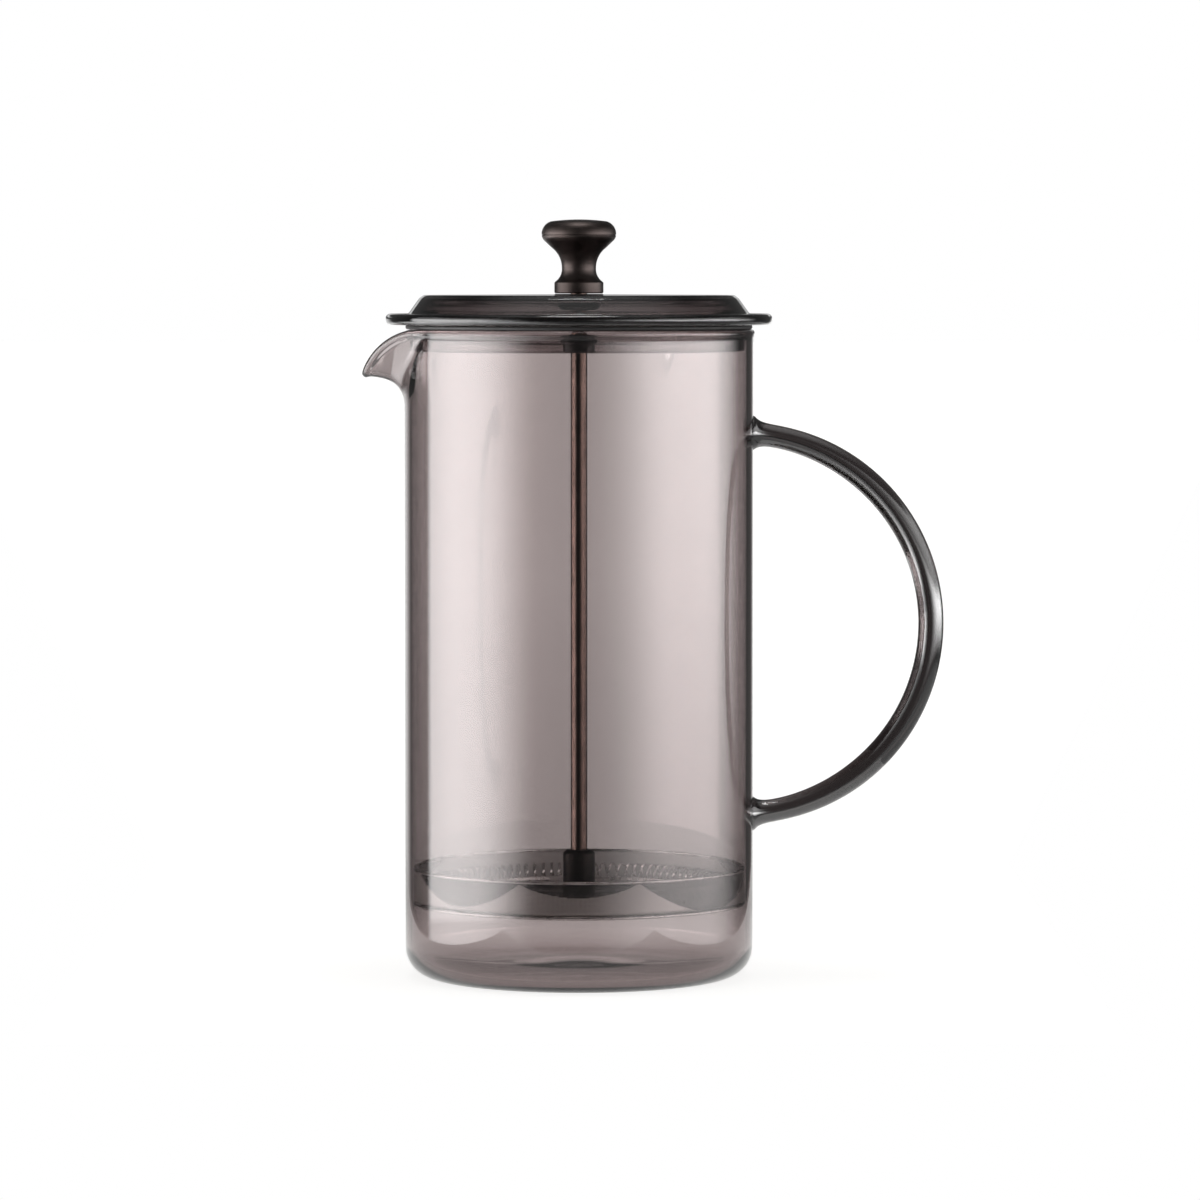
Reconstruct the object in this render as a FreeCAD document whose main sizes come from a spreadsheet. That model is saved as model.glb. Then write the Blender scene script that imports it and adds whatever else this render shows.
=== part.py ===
"""French press: smoked glass beaker and lid, steel plunger with a sprung mesh filter.

Frame: millimetres, +Z up, origin at the centre of the underside of the beaker.
The handle points along +X and the pouring spout along -X.
The lid lifts off and turns on its seal, and the plunger turns and slides in the lid.
"""
import FreeCAD, Part
import math
import os
import re

import Sketcher

# ---------------------------------------------------------------- driving dimensions
DRIVING = {
    # beaker
    "beaker_diameter": 96.0,
    "beaker_height": 178.5,
    "wall": 1.8,
    "floor_thick": 2.6,
    "base_corner": 8.0,
    "punt_rise": 1.4,
    "punt_radius": 16.0,
    "bead_height": 1.7,
    "bead_bend": 0.97,
    "above_rim": 5.0,
    # pouring spout
    "spout_reach": 59.8,
    "spout_start": 156.5,
    "spout_under": 164.8,
    "spout_tip_radius": 4.2,
    "spout_root": 40.0,
    "spout_root_half": 18.8,
    "spout_root_share": 0.5,
    "spout_throat_share": 0.6,
    "lip_start": 47.0,
    "lip_bend": 18.0,
    "lip_reach": 60.3,
    "lip_tip_thick": 2.1,
    # handle
    "handle_rod": 7.0,
    "handle_bend": 52.5,
    "handle_centre_out": 44.6,
    "handle_centre_up": 97.5,
    "foot_radius": 4.6,
    "foot_end_radius": 3.1,
    "foot_inset": 2.0,
    "foot_length": 7.0,
    # lid
    "rim_gap": 0.15,
    "seal_thick": 1.2,
    "seal_width": 2.0,
    "seal_clearance": 0.1,
    "flange_diameter": 106.4,
    "flange_thick": 3.0,
    "dome_base_radius": 46.8,
    "dome_shoulder_radius": 44.0,
    "dome_shoulder_drop": 1.6,
    "dome_crown_radius": 42.0,
    "dome_cavity_radius": 41.0,
    "dome_rise": 5.1,
    "dome_wall": 2.0,
    "dome_bend": 2.6,
    "skirt_clearance": 0.6,
    "skirt_wall": 1.8,
    "skirt_depth": 7.3,
    "insert_thick": 1.6,
    "slot_width": 3.0,
    "slot_height": 4.0,
    "slot_pitch": 9.0,
    "slot_lift": 0.8,
    # bushes and the wiper ring
    "running_fit": 0.06,
    "upper_bush_radius": 5.0,
    "upper_bush_flange": 6.7,
    "upper_bush_lip": 6.2,
    "upper_bush_tip": 4.7,
    "upper_bush_drop": 2.4,
    "upper_bush_rise": 0.3,
    "lower_bush_radius": 4.35,
    "lower_bush_shoulder": 5.1,
    "shoulder_thick": 1.0,
    "lower_bush_neck": 3.6,
    "clip_radius": 5.6,
    "clip_thick": 1.3,
    "wiper_section": 0.75,
    "wiper_level": 175.2,
    # rod and knob
    "rod_diameter": 4.6,
    "stud_diameter": 3.8,
    "stud_bottom": 16.4,
    "step_level": 25.0,
    "rod_in_knob": 11.0,
    "knob_gap": 0.15,
    "knob_height": 20.3,
    "cap_radius": 10.3,
    "cap_middle": 16.4,
    "cap_bend": 3.6,
    "cap_top_radius": 7.6,
    "cap_top_level": 19.8,
    "cap_under_radius": 9.3,
    "cap_under_level": 14.3,
    "cap_under_bend": 2.6,
    "throat_radius": 7.4,
    "throat_level": 12.5,
    "throat_bend": 6.95,
    "neck_radius": 4.7,
    "neck_level": 7.0,
    "base_radius": 6.75,
    "base_level": 3.3,
    "base_bend": 4.36,
    "base_bevel": 0.35,
    "knob_washer_radius": 5.4,
    "knob_washer_thick": 0.6,
    # filter stack, from the hub down
    "hub_radius": 4.4,
    "hub_bottom": 22.5,
    "hub_top": 35.0,
    "hub_bevel": 0.9,
    "plate_thick": 0.6,
    "plate_radius": 38.4,
    "plate_lip": 1.2,
    "plate_hole_radius": 7.6,
    "plate_hole_circle": 23.5,
    "filter_clearance": 0.3,
    "spring_section": 2.7,
    "spring_gap": 0.7,
    "mesh_thick": 0.6,
    "mesh_top": 29.9,
    "rim_thick": 0.8,
    "rim_width": 1.2,
    "hem_proud": 0.2,
    "hem_width": 2.5,
    "hem_thick": 1.0,
    "cross_thick": 0.8,
    "cross_radius": 37.0,
    "cross_hole_radius": 9.6,
    "cross_hole_circle": 22.0,
    "nut_washer_radius": 5.5,
    "nut_washer_thick": 0.5,
    "nut_corner_radius": 4.6,
    "nut_thick": 3.0,
    # an arc of half a circle is drawn this much larger, so that its centre stays on its own side
    "half_round": 1.0001,
}
PLATE_HOLES = 6
CROSS_HOLES = 4
SLOT_COUNT = 5
SPOUT_STEPS = 6
HEX_SIDES = 6

# ---------------------------------------------------------------- levels and radii worked out from them
OUTER = "beaker_diameter / 2"
INNER = "(beaker_diameter / 2 - wall)"
FLANGE_BOTTOM = "(beaker_height + rim_gap + seal_thick + running_fit)"
FLANGE_TOP = "(%s + flange_thick)" % FLANGE_BOTTOM
DOME_TOP = "(%s + dome_rise)" % FLANGE_TOP
DOME_UNDER = "(%s - dome_wall)" % DOME_TOP
SKIRT_OUTER = "(%s - skirt_clearance)" % INNER
SKIRT_INNER = "(%s - skirt_wall)" % SKIRT_OUTER
SKIRT_BOTTOM = "(%s - skirt_depth)" % FLANGE_BOTTOM
INSERT_BOTTOM = "(%s - insert_thick)" % FLANGE_BOTTOM
ROD = "rod_diameter / 2"
STUD = "stud_diameter / 2"
BORE = "(rod_diameter / 2 + running_fit)"
WIPER_RING = "(%s - running_fit / 2 + wiper_section)" % BORE
WIPER_GROOVE = "(%s + wiper_section + running_fit)" % WIPER_RING
KNOB_BOTTOM = "(%s + upper_bush_rise + knob_gap)" % DOME_TOP
FILTER = "(%s - filter_clearance)" % INNER
PLATE_BOTTOM = "(hub_bottom - plate_thick)"
MESH_BOTTOM = "(%s - mesh_thick)" % PLATE_BOTTOM
CROSS_BOTTOM = "(%s - cross_thick)" % MESH_BOTTOM
HEM_BOTTOM = "(%s - hem_thick)" % MESH_BOTTOM
MESH_OUTER = "(%s - hem_proud)" % FILTER
MESH_INNER = "(%s - mesh_thick)" % MESH_OUTER
NUT_WASHER_BOTTOM = "(%s - nut_washer_thick)" % CROSS_BOTTOM
NUT_BOTTOM = "(%s - nut_thick)" % NUT_WASHER_BOTTOM


# ---------------------------------------------------------------- document and helpers
os.makedirs("parts", exist_ok=True)
doc = FreeCAD.newDocument("french_press")
sheet = doc.addObject("Spreadsheet::Sheet", "Sizes")
for row, (alias, number) in enumerate(DRIVING.items(), start=1):
    sheet.set("A%d" % row, alias)
    sheet.set("B%d" % row, str(number))
    sheet.setAlias("B%d" % row, alias)
doc.recompute()
pieces = []


def bind(text):
    """The same expression with every driving name read from the sheet."""
    return re.sub(r"[a-z_]+", lambda word: "Sizes." * (word.group() in DRIVING) + word.group(), str(text))


def value(text):
    """The present number of an expression."""
    return float(sheet.evalExpression(bind(text)))


def new_body(label):
    """A PartDesign body that becomes one piece."""
    body = doc.addObject("PartDesign::Body", "Body_" + label)
    body.Label = label
    pieces.append(body)
    return body


def new_part(kind, label, sizes, base=("0", "0", "0"), rotation=None):
    """A Part primitive with its sizes and its place bound to the sheet."""
    item = doc.addObject(kind, label)
    if rotation is not None:
        item.Placement = FreeCAD.Placement(FreeCAD.Vector(), rotation)
    for name, text in sizes.items():
        item.setExpression(name, bind(text))
    for axis, text in zip("xyz", base):
        item.setExpression("Placement.Base." + axis, bind(text))
    return item


def cut(label, base, tool):
    """One primitive less another, as a piece."""
    item = doc.addObject("Part::Cut", "Cut_" + label)
    item.Base = base
    item.Tool = tool
    item.Label = label
    pieces.append(item)
    return item


def new_sketch(body, name, role, height="0"):
    """A sketch on one of the body's own origin planes, raised along its normal."""
    sketch = body.newObject("Sketcher::SketchObject", name)
    plane = next(item for item in body.Origin.OriginFeatures if item.Role == role)
    sketch.AttachmentSupport = (plane, "")
    sketch.MapMode = "FlatFace"
    sketch.setExpression("AttachmentOffset.Base.z", bind(height))
    return sketch


def fix_point(sketch, edge, end, across, up):
    """Tie one end of an edge to the sketch's axes with bound distances."""
    for kind, axis, text in (("DistanceX", -2, across), ("DistanceY", -1, up)):
        if text == "0":
            sketch.addConstraint(Sketcher.Constraint("PointOnObject", edge, end, axis))
            continue
        number = sketch.addConstraint(Sketcher.Constraint(kind, -1, 1, edge, end, value(text)))
        sketch.setExpression("Constraints[%d]" % number, bind(text))


def bent_edge(start, stop, radius):
    """The arc from start to stop: a positive radius turns left, a negative one turns right."""
    chord = stop - start
    side = FreeCAD.Vector(-chord.y, chord.x, 0).normalize()
    depth = math.sqrt(radius ** 2 - (chord.Length / 2) ** 2)
    centre = (start + stop) / 2 + side * math.copysign(depth, radius)
    middle = centre - side * radius
    return Part.Arc(start, middle, stop)


def outline(sketch, corners):
    """A closed, fully bound outline. A corner is (x, y), or (x, y, radius) where an arc leaves it."""
    points = [FreeCAD.Vector(value(corner[0]), value(corner[1]), 0) for corner in corners]
    starts = []
    ends = []
    for index, corner in enumerate(corners):
        start = points[index]
        stop = points[(index + 1) % len(points)]
        if len(corner) == 2:
            edge = sketch.addGeometry(Part.LineSegment(start, stop))
            turned_left = True
        else:
            radius = value(corner[2])
            turned_left = radius > 0
            edge = sketch.addGeometry(bent_edge(start, stop, radius))
            number = sketch.addConstraint(Sketcher.Constraint("Radius", edge, abs(radius)))
            sketch.setExpression("Constraints[%d]" % number, bind("abs(%s)" % corner[2]))
        starts.append((edge, 1 if turned_left else 2))
        ends.append((edge, 2 if turned_left else 1))
    for index, corner in enumerate(corners):
        joined = ends[index - 1] + starts[index]
        sketch.addConstraint(Sketcher.Constraint("Coincident", *joined))
        fix_point(sketch, *starts[index], corner[0], corner[1])


def turned(label, corners):
    """A piece of revolution about Z from its (radius, height) outline."""
    body = new_body(label)
    sketch = new_sketch(body, label + "_profile", "XZ_Plane")
    outline(sketch, corners)
    solid = body.newObject("PartDesign::Revolution", label + "_turned")
    solid.Profile = sketch
    solid.ReferenceAxis = (sketch, ["V_Axis"])
    solid.Angle = 360
    body.Tip = solid
    return body


def ring(label, inner, outer, bottom, thick):
    """A flat ring as one cylinder less another."""
    disc = new_part("Part::Cylinder", label + "_disc", {"Radius": outer, "Height": thick}, ("0", "0", bottom))
    eye = new_part("Part::Cylinder", label + "_eye", {"Radius": inner, "Height": thick}, ("0", "0", bottom))
    return cut(label, disc, eye)


def plate_holes(body, label, radius, circle, count):
    """The round holes of a filter plate, on one circle about the axis."""
    sketch = new_sketch(body, label + "_hole", "XY_Plane")
    centre = FreeCAD.Vector(value(circle), 0, 0)
    edge = sketch.addGeometry(Part.Circle(centre, FreeCAD.Vector(0, 0, 1), value(radius)))
    number = sketch.addConstraint(Sketcher.Constraint("Radius", edge, value(radius)))
    sketch.setExpression("Constraints[%d]" % number, bind(radius))
    fix_point(sketch, edge, 3, circle, "0")
    hole = body.newObject("PartDesign::Pocket", label + "_pocket")
    hole.Profile = sketch
    hole.Type = "ThroughAll"
    hole.Reversed = True
    pattern = body.newObject("PartDesign::PolarPattern", label + "_holes")
    pattern.Originals = [hole]
    pattern.Axis = (sketch, ["N_Axis"])
    pattern.Angle = 360
    pattern.Occurrences = count
    body.Tip = pattern


# ---------------------------------------------------------------- beaker
def spout_sections(body, name, inset, top):
    """Level outlines of the spout, from inside the wall out to the tip, then up to the top."""
    levels = []
    for step in range(SPOUT_STEPS + 1):
        turn = math.radians(90) * step / SPOUT_STEPS
        levels.append((1 - math.cos(turn), math.sin(turn)))
    levels.append((None, 1))
    sketches = []
    for index, (out, up) in enumerate(levels):
        if out is None:
            out = 1
            height = top
        else:
            height = "spout_start + %s + (spout_under - spout_start) * %.4f" % (inset, up)
        reach = "(%s - wall + (spout_reach - %s + wall) * %.4f - %s)" % (OUTER, OUTER, out, inset)
        tip_share = "(spout_throat_share + (1 - spout_throat_share) * %.4f)" % out
        half = "((spout_tip_radius - %s / 2) * %s)" % (inset, tip_share)
        root_share = "(spout_root_share + (1 - spout_root_share) * %.4f)" % out
        root_half = "(spout_root_half * %s - %s)" % (root_share, inset)
        sketch = new_sketch(body, "%s_%d" % (name, index), "XY_Plane", height)
        outline(sketch, [
            ("-spout_root", root_half),
            ("-%s + %s" % (reach, half), half, half + " * half_round"),
            ("-%s + %s" % (reach, half), "-" + half),
            ("-spout_root", "-" + root_half),
        ])
        sketches.append(sketch)
    return sketches


def make_beaker():
    body = turned("beaker", [
        ("0", "0"),
        (OUTER + " - base_corner", "0", "base_corner"),
        (OUTER, "base_corner"),
        (OUTER, "beaker_height - bead_height", "bead_bend"),
        (OUTER, "beaker_height"),
        ("0", "beaker_height"),
    ])
    sections = spout_sections(body, "spout_outer", "0", "beaker_height")
    spout = body.newObject("PartDesign::AdditiveLoft", "spout_outside")
    spout.Profile = sections[0]
    spout.Sections = sections[1:]
    spout.Ruled = True

    # the inside of the beaker
    cavity_sketch = new_sketch(body, "cavity_profile", "XZ_Plane")
    inner_corner = "(base_corner - wall)"
    outline(cavity_sketch, [
        ("0", "floor_thick + punt_rise"),
        ("punt_radius", "floor_thick"),
        ("%s - %s" % (INNER, inner_corner), "floor_thick", inner_corner),
        (INNER, "floor_thick + " + inner_corner),
        (INNER, "beaker_height + above_rim"),
        ("0", "beaker_height + above_rim"),
    ])
    cavity = body.newObject("PartDesign::Groove", "cavity")
    cavity.Profile = cavity_sketch
    cavity.ReferenceAxis = (cavity_sketch, ["V_Axis"])
    cavity.Angle = 360

    # the pouring channel
    sections = spout_sections(body, "spout_inner", "wall", "beaker_height + above_rim")
    channel = body.newObject("PartDesign::SubtractiveLoft", "spout_channel")
    channel.Profile = sections[0]
    channel.Sections = sections[1:]
    channel.Ruled = True

    # the lip droops from the rim to the tip
    lip_sketch = new_sketch(body, "lip_profile", "XZ_Plane")
    lip_tip = "spout_under + lip_tip_thick"
    outline(lip_sketch, [
        ("-lip_start", "beaker_height", "lip_bend"),
        ("-lip_reach", lip_tip),
        ("-lip_reach - wall", lip_tip),
        ("-lip_reach - wall", "beaker_height + above_rim"),
        ("-lip_start", "beaker_height + above_rim"),
    ])
    lip = body.newObject("PartDesign::Pocket", "lip_line")
    lip.Profile = lip_sketch
    lip.Type = "Length"
    lip.SideType = "Symmetric"
    lip.setExpression("Length", bind("beaker_diameter"))
    body.Tip = lip


def make_handle():
    """A round glass rod bent to half a circle, with a flared foot where each end joins the wall."""
    upright = FreeCAD.Rotation(FreeCAD.Vector(1, 0, 0), 90) * FreeCAD.Rotation(FreeCAD.Vector(0, 0, 1), -90)
    rod = new_part("Part::Torus", "handle_rod_bent",
                   {"Radius1": "handle_bend", "Radius2": "handle_rod / 2", "Angle3": "180"},
                   ("handle_centre_out", "0", "handle_centre_up"), upright)
    outward = FreeCAD.Rotation(FreeCAD.Vector(0, 1, 0), 90)
    feet = []
    sizes = {"Radius1": "foot_radius", "Radius2": "foot_end_radius", "Height": "foot_length"}
    for name, sign in (("upper", "+"), ("lower", "-")):
        level = "handle_centre_up %s handle_bend" % sign
        feet.append(new_part("Part::Cone", "handle_foot_" + name, sizes,
                             (OUTER + " - foot_inset", "0", level), outward))
    whole = doc.addObject("Part::MultiFuse", "handle_whole")
    whole.Shapes = [rod] + feet
    inside = new_part("Part::Cylinder", "handle_inside", {"Radius": OUTER, "Height": "beaker_height"})
    cut("handle", whole, inside)


# ---------------------------------------------------------------- lid
def make_lid_cover():
    round_edge = "(flange_thick / 2)"
    edge_radius = "flange_diameter / 2 - " + round_edge
    turned("lid_cover", [
        ("upper_bush_radius", DOME_UNDER),
        ("dome_cavity_radius", DOME_UNDER),
        (SKIRT_INNER, FLANGE_TOP),
        (SKIRT_INNER, FLANGE_BOTTOM),
        (edge_radius, FLANGE_BOTTOM, round_edge + " * half_round"),
        (edge_radius, FLANGE_TOP),
        ("dome_base_radius", FLANGE_TOP),
        ("dome_shoulder_radius", DOME_TOP + " - dome_shoulder_drop", "dome_bend"),
        ("dome_crown_radius", DOME_TOP),
        ("upper_bush_radius", DOME_TOP),
    ])


def make_lid_insert():
    """The plate under the dome with the skirt, pierced by pouring slots towards the spout."""
    hole = "(lower_bush_neck + running_fit)"
    body = turned("lid_insert", [
        (hole, INSERT_BOTTOM),
        (SKIRT_INNER, INSERT_BOTTOM),
        (SKIRT_INNER, SKIRT_BOTTOM),
        (SKIRT_OUTER, SKIRT_BOTTOM),
        (SKIRT_OUTER, FLANGE_BOTTOM),
        (hole, FLANGE_BOTTOM),
    ])
    sketch = new_sketch(body, "slot_profile", "YZ_Plane")
    first = "(-slot_pitch * %d / 2 - slot_width / 2)" % (SLOT_COUNT - 1)
    low = SKIRT_BOTTOM + " + slot_lift"
    outline(sketch, [
        (first, low),
        (first + " + slot_width", low),
        (first + " + slot_width", low + " + slot_height"),
        (first, low + " + slot_height"),
    ])
    slot = body.newObject("PartDesign::Pocket", "slot")
    slot.Profile = sketch
    slot.Type = "ThroughAll"
    row = body.newObject("PartDesign::LinearPattern", "slot_row")
    row.Originals = [slot]
    row.Direction = (sketch, ["H_Axis"])
    row.setExpression("Length", bind("slot_pitch * %d" % (SLOT_COUNT - 1)))
    row.Occurrences = SLOT_COUNT
    body.Tip = row


def make_lid_seal():
    inner = "(%s + seal_clearance)" % SKIRT_OUTER
    ring("lid_seal", inner, inner + " + seal_width", "beaker_height + rim_gap", "seal_thick")


def make_upper_bush():
    """A grommet snapped into the top of the dome, with a thin flange above and a cone below."""
    turned("upper_bush", [
        (BORE, DOME_UNDER + " - upper_bush_drop"),
        ("upper_bush_tip", DOME_UNDER + " - upper_bush_drop"),
        ("upper_bush_lip", DOME_UNDER),
        ("upper_bush_radius", DOME_UNDER),
        ("upper_bush_radius", DOME_TOP),
        ("upper_bush_flange", DOME_TOP),
        ("upper_bush_flange", DOME_TOP + " + upper_bush_rise"),
        (BORE, DOME_TOP + " + upper_bush_rise"),
    ])


def make_lower_bush():
    """A collar that turns in the insert, grooved inside for the wiper ring."""
    seat = "(%s - running_fit)" % INSERT_BOTTOM
    top = "(%s + running_fit + clip_thick)" % FLANGE_BOTTOM
    groove_low = "wiper_level - wiper_section - running_fit"
    groove_high = "wiper_level + wiper_section + running_fit"
    turned("lower_bush", [
        (BORE, SKIRT_BOTTOM),
        ("lower_bush_radius - base_bevel", SKIRT_BOTTOM),
        ("lower_bush_radius", SKIRT_BOTTOM + " + base_bevel"),
        ("lower_bush_radius", seat + " - shoulder_thick * 2"),
        ("lower_bush_shoulder", seat + " - shoulder_thick"),
        ("lower_bush_shoulder", seat),
        ("lower_bush_neck", seat),
        ("lower_bush_neck", top),
        (BORE, top),
        (BORE, groove_high),
        (WIPER_GROOVE, groove_high),
        (WIPER_GROOVE, groove_low),
        (BORE, groove_low),
    ])
    ring("bush_clip", "lower_bush_neck", "clip_radius", FLANGE_BOTTOM + " + running_fit", "clip_thick")
    wiper = new_part("Part::Torus", "rod_wiper", {"Radius1": WIPER_RING, "Radius2": "wiper_section"},
                     ("0", "0", "wiper_level"))
    pieces.append(wiper)


# ---------------------------------------------------------------- plunger
def make_knob():
    """A waisted knob under a round cap. Its crown is part of a ball centred on the axis."""
    def at(level):
        return "%s + %s" % (KNOB_BOTTOM, level)

    crown_rise = "(knob_height - cap_top_level)"
    crown_bend = "(cap_top_radius ^ 2 + %s ^ 2) / (2 * %s)" % (crown_rise, crown_rise)

    turned("knob", [
        ("0", at("rod_in_knob")),
        (ROD, at("rod_in_knob")),
        (ROD, at("knob_washer_thick")),
        ("knob_washer_radius", at("knob_washer_thick")),
        ("knob_washer_radius", KNOB_BOTTOM),
        ("base_radius - base_bevel", KNOB_BOTTOM),
        ("base_radius", at("base_bevel")),
        ("base_radius", at("base_level"), "-base_bend"),
        ("neck_radius", at("neck_level"), "-throat_bend"),
        ("throat_radius", at("throat_level")),
        ("cap_under_radius", at("cap_under_level"), "cap_under_bend"),
        ("cap_radius", at("cap_middle"), "cap_bend"),
        ("cap_top_radius", at("cap_top_level"), crown_bend),
        ("0", at("knob_height")),
    ])
    ring("knob_washer", ROD, "knob_washer_radius", KNOB_BOTTOM, "knob_washer_thick")


def make_rod():
    turned("plunger_rod", [
        ("0", "stud_bottom"),
        (STUD, "stud_bottom"),
        (STUD, "step_level"),
        (ROD, "step_level"),
        (ROD, KNOB_BOTTOM + " + rod_in_knob"),
        ("0", KNOB_BOTTOM + " + rod_in_knob"),
    ])


def make_hub():
    turned("rod_hub", [
        (STUD, "hub_bottom"),
        ("hub_radius", "hub_bottom"),
        ("hub_radius", "hub_top - hub_bevel"),
        ("hub_radius - hub_bevel", "hub_top"),
        (ROD, "hub_top"),
        (ROD, "step_level"),
        (STUD, "step_level"),
    ])


def make_upper_plate():
    """The sprung plate: a disc with a low upturned lip inside the coil ring."""
    lip_inner = "plate_radius - plate_thick"
    plate = turned("upper_plate", [
        (STUD, PLATE_BOTTOM),
        ("plate_radius", PLATE_BOTTOM),
        ("plate_radius", "hub_bottom + plate_lip"),
        (lip_inner, "hub_bottom + plate_lip"),
        (lip_inner, "hub_bottom"),
        (STUD, "hub_bottom"),
    ])
    plate_holes(plate, "upper_plate", "plate_hole_radius", "plate_hole_circle", PLATE_HOLES)


def make_edge_spring():
    """The ring that the coil spring fills, lying on the mesh inside its upturned edge."""
    spring = new_part("Part::Torus", "edge_spring",
                      {"Radius1": MESH_INNER + " - spring_gap - spring_section", "Radius2": "spring_section"},
                      ("0", "0", PLATE_BOTTOM + " + spring_section"))
    pieces.append(spring)


def make_mesh():
    """The mesh screen: a disc with its edge turned up, a folded rim on top and a hem below."""
    turned("filter_mesh", [
        (STUD, MESH_BOTTOM),
        (MESH_OUTER, MESH_BOTTOM),
        (MESH_OUTER, "mesh_top"),
        (MESH_INNER, "mesh_top"),
        (MESH_INNER, PLATE_BOTTOM),
        (STUD, PLATE_BOTTOM),
    ])
    ring("mesh_rim", FILTER + " - rim_width", FILTER, "mesh_top", "rim_thick")
    ring("mesh_hem", FILTER + " - hem_width", FILTER, HEM_BOTTOM, "hem_thick")


def make_lower_plate():
    cross = turned("lower_plate", [
        (STUD, CROSS_BOTTOM),
        ("cross_radius", CROSS_BOTTOM),
        ("cross_radius", MESH_BOTTOM),
        (STUD, MESH_BOTTOM),
    ])
    plate_holes(cross, "lower_plate", "cross_hole_radius", "cross_hole_circle", CROSS_HOLES)


def make_nut():
    ring("nut_washer", STUD, "nut_washer_radius", NUT_WASHER_BOTTOM, "nut_washer_thick")
    blank = new_part("Part::Prism", "nut_blank", {"Circumradius": "nut_corner_radius", "Height": "nut_thick"},
                     ("0", "0", NUT_BOTTOM))
    blank.Polygon = HEX_SIDES
    eye = new_part("Part::Cylinder", "nut_eye", {"Radius": STUD, "Height": "nut_thick"},
                   ("0", "0", NUT_BOTTOM))
    cut("filter_nut", blank, eye)


make_beaker()
make_handle()
make_lid_cover()
make_lid_insert()
make_lid_seal()
make_upper_bush()
make_lower_bush()
make_knob()
make_rod()
make_hub()
make_upper_plate()
make_edge_spring()
make_mesh()
make_lower_plate()
make_nut()
doc.recompute()

# ---------------------------------------------------------------- checks and export
for item in doc.Objects:
    if "Invalid" in item.State or "Error" in item.State:
        raise RuntimeError("%s did not compute: %s" % (item.Label, item.State))
for piece in pieces:
    if piece.Shape.isNull() or not piece.Shape.isValid() or not piece.Shape.Solids:
        raise RuntimeError("%s has no valid solid" % piece.Label)
for piece in pieces:
    box = piece.Shape.BoundBox
    print("%-14s solids %d  volume %9.1f  x %7.2f %7.2f  z %7.2f %7.2f" % (
        piece.Label, len(piece.Shape.Solids), piece.Shape.Volume, box.XMin, box.XMax, box.ZMin, box.ZMax))
    piece.Shape.exportStep("parts/%s.step" % piece.Label)
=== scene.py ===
"""French press: the looks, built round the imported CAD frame. Units are metres."""
import math

import bmesh
import bpy
from mathutils import Matrix, Vector


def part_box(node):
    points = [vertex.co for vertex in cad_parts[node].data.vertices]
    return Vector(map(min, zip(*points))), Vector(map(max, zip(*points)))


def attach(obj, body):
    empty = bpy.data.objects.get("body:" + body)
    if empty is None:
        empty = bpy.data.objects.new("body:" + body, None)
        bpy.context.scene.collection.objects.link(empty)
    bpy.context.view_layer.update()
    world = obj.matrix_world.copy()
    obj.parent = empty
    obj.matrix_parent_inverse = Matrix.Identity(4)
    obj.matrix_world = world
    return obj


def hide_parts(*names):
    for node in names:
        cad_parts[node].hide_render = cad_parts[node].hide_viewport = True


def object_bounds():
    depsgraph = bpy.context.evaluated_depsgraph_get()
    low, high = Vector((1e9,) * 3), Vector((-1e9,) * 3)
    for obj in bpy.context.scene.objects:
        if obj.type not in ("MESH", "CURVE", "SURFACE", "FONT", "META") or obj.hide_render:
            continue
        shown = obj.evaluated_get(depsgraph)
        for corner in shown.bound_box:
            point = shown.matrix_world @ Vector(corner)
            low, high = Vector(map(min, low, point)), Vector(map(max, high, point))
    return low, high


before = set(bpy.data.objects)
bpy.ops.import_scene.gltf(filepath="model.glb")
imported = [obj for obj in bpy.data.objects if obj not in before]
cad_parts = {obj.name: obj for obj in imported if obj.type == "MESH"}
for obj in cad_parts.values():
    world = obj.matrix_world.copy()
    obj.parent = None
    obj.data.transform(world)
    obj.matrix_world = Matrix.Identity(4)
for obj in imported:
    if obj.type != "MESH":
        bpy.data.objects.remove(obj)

cad_low, cad_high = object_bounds()
MM = 0.001
TURN = 2 * math.pi

# ------------------------------------------------------------------ sizes read from the frame
seal_low, seal_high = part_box("lid_seal")
cover_low, cover_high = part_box("lid_cover")
insert_low, insert_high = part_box("lid_insert")
bush_low, bush_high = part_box("upper_bush")
collar_low, collar_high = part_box("lower_bush")
knob_low, knob_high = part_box("knob")
rod_low, rod_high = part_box("plunger_rod")
hub_low, hub_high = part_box("rod_hub")
plate_low, plate_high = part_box("upper_plate")
spring_low, spring_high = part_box("edge_spring")
mesh_low, mesh_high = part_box("filter_mesh")
rim_low, rim_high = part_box("mesh_rim")
hem_low, hem_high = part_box("mesh_hem")
cross_low, cross_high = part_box("lower_plate")
nut_low, nut_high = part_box("filter_nut")
beaker_low, beaker_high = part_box("beaker")
handle_low, handle_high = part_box("handle")

BEAKER_HEIGHT = beaker_high.z
BEAKER_RADIUS = 48.0 * MM
WALL = 1.8 * MM
SPOUT_TIP = -beaker_low.x
ROD_RADIUS = rod_high.x
STUD_RADIUS = 1.9 * MM


# ------------------------------------------------------------------ mesh helpers
def link(name, mesh, sharp=32):
    """A smooth-shaded object for the mesh, with edges over the given angle kept sharp."""
    mesh.polygons.foreach_set("use_smooth", [True] * len(mesh.polygons))
    mesh.set_sharp_from_angle(angle=math.radians(sharp))
    piece = bpy.data.objects.new(name, mesh)
    bpy.context.scene.collection.objects.link(piece)
    return piece


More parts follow.
